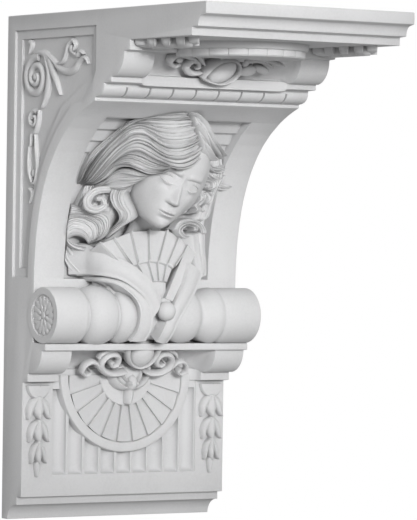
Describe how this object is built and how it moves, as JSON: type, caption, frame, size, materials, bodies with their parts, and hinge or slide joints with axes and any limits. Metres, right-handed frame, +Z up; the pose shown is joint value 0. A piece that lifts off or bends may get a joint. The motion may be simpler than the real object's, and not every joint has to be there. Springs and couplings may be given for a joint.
{
  "type": "corbel",
  "caption": "Tall carved console corbel: a bust with flowing hair in a hollow niche over a turned bolster, a rayed and fluted lower panel and a deep moulded crown.",
  "frame": {"origin": "on the flat wall face, at mid-width and mid-height", "axes": "+Y into the wall (outward normal of the wall face), front towards -Y, X across the width, +Z up"},
  "size_m": [0.2586, 0.371, 0.5314],
  "materials": {
    "primed_casting": "factory-primed moulded high-density foam, pale neutral, matte"
  },
  "bodies": {
    "root": {"corbel": "primed_casting"}
  },
  "joints": []
}
